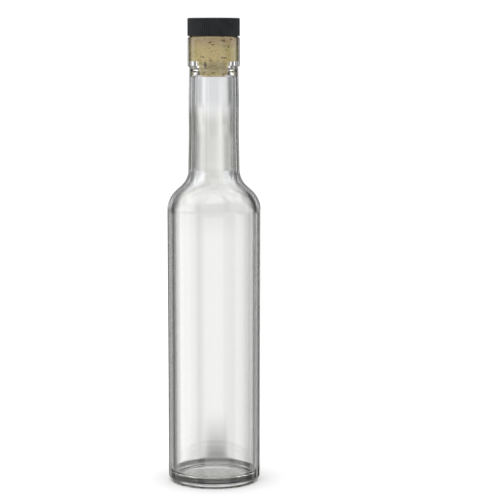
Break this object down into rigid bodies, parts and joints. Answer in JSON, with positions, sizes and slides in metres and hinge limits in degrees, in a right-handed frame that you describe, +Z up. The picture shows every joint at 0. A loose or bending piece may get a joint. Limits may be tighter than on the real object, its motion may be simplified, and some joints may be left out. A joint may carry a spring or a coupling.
{
  "type": "corked glass bottle",
  "caption": "Slim clear glass bottle with a straight round body, sloping shoulder and long banded neck, closed by a tapered cork stopper under a ribbed round cap.",
  "frame": {"origin": "middle of the base, on the surface that the bottle stands on", "axes": "+Z up along the axis that the bottle, its neck and its stopper are turned about; X and Y are alike"},
  "size_m": [0.0514, 0.0514, 0.2548],
  "materials": {
    "clear_glass": "clear flint glass, glossy",
    "natural_cork": "natural cork with dark pores, matt",
    "black_plastic": "black moulded plastic, satin"
  },
  "bodies": {
    "root": {"glass_bottle": "clear_glass", "stopper_cork": "natural_cork", "stopper_cap": "black_plastic"}
  },
  "joints": []
}
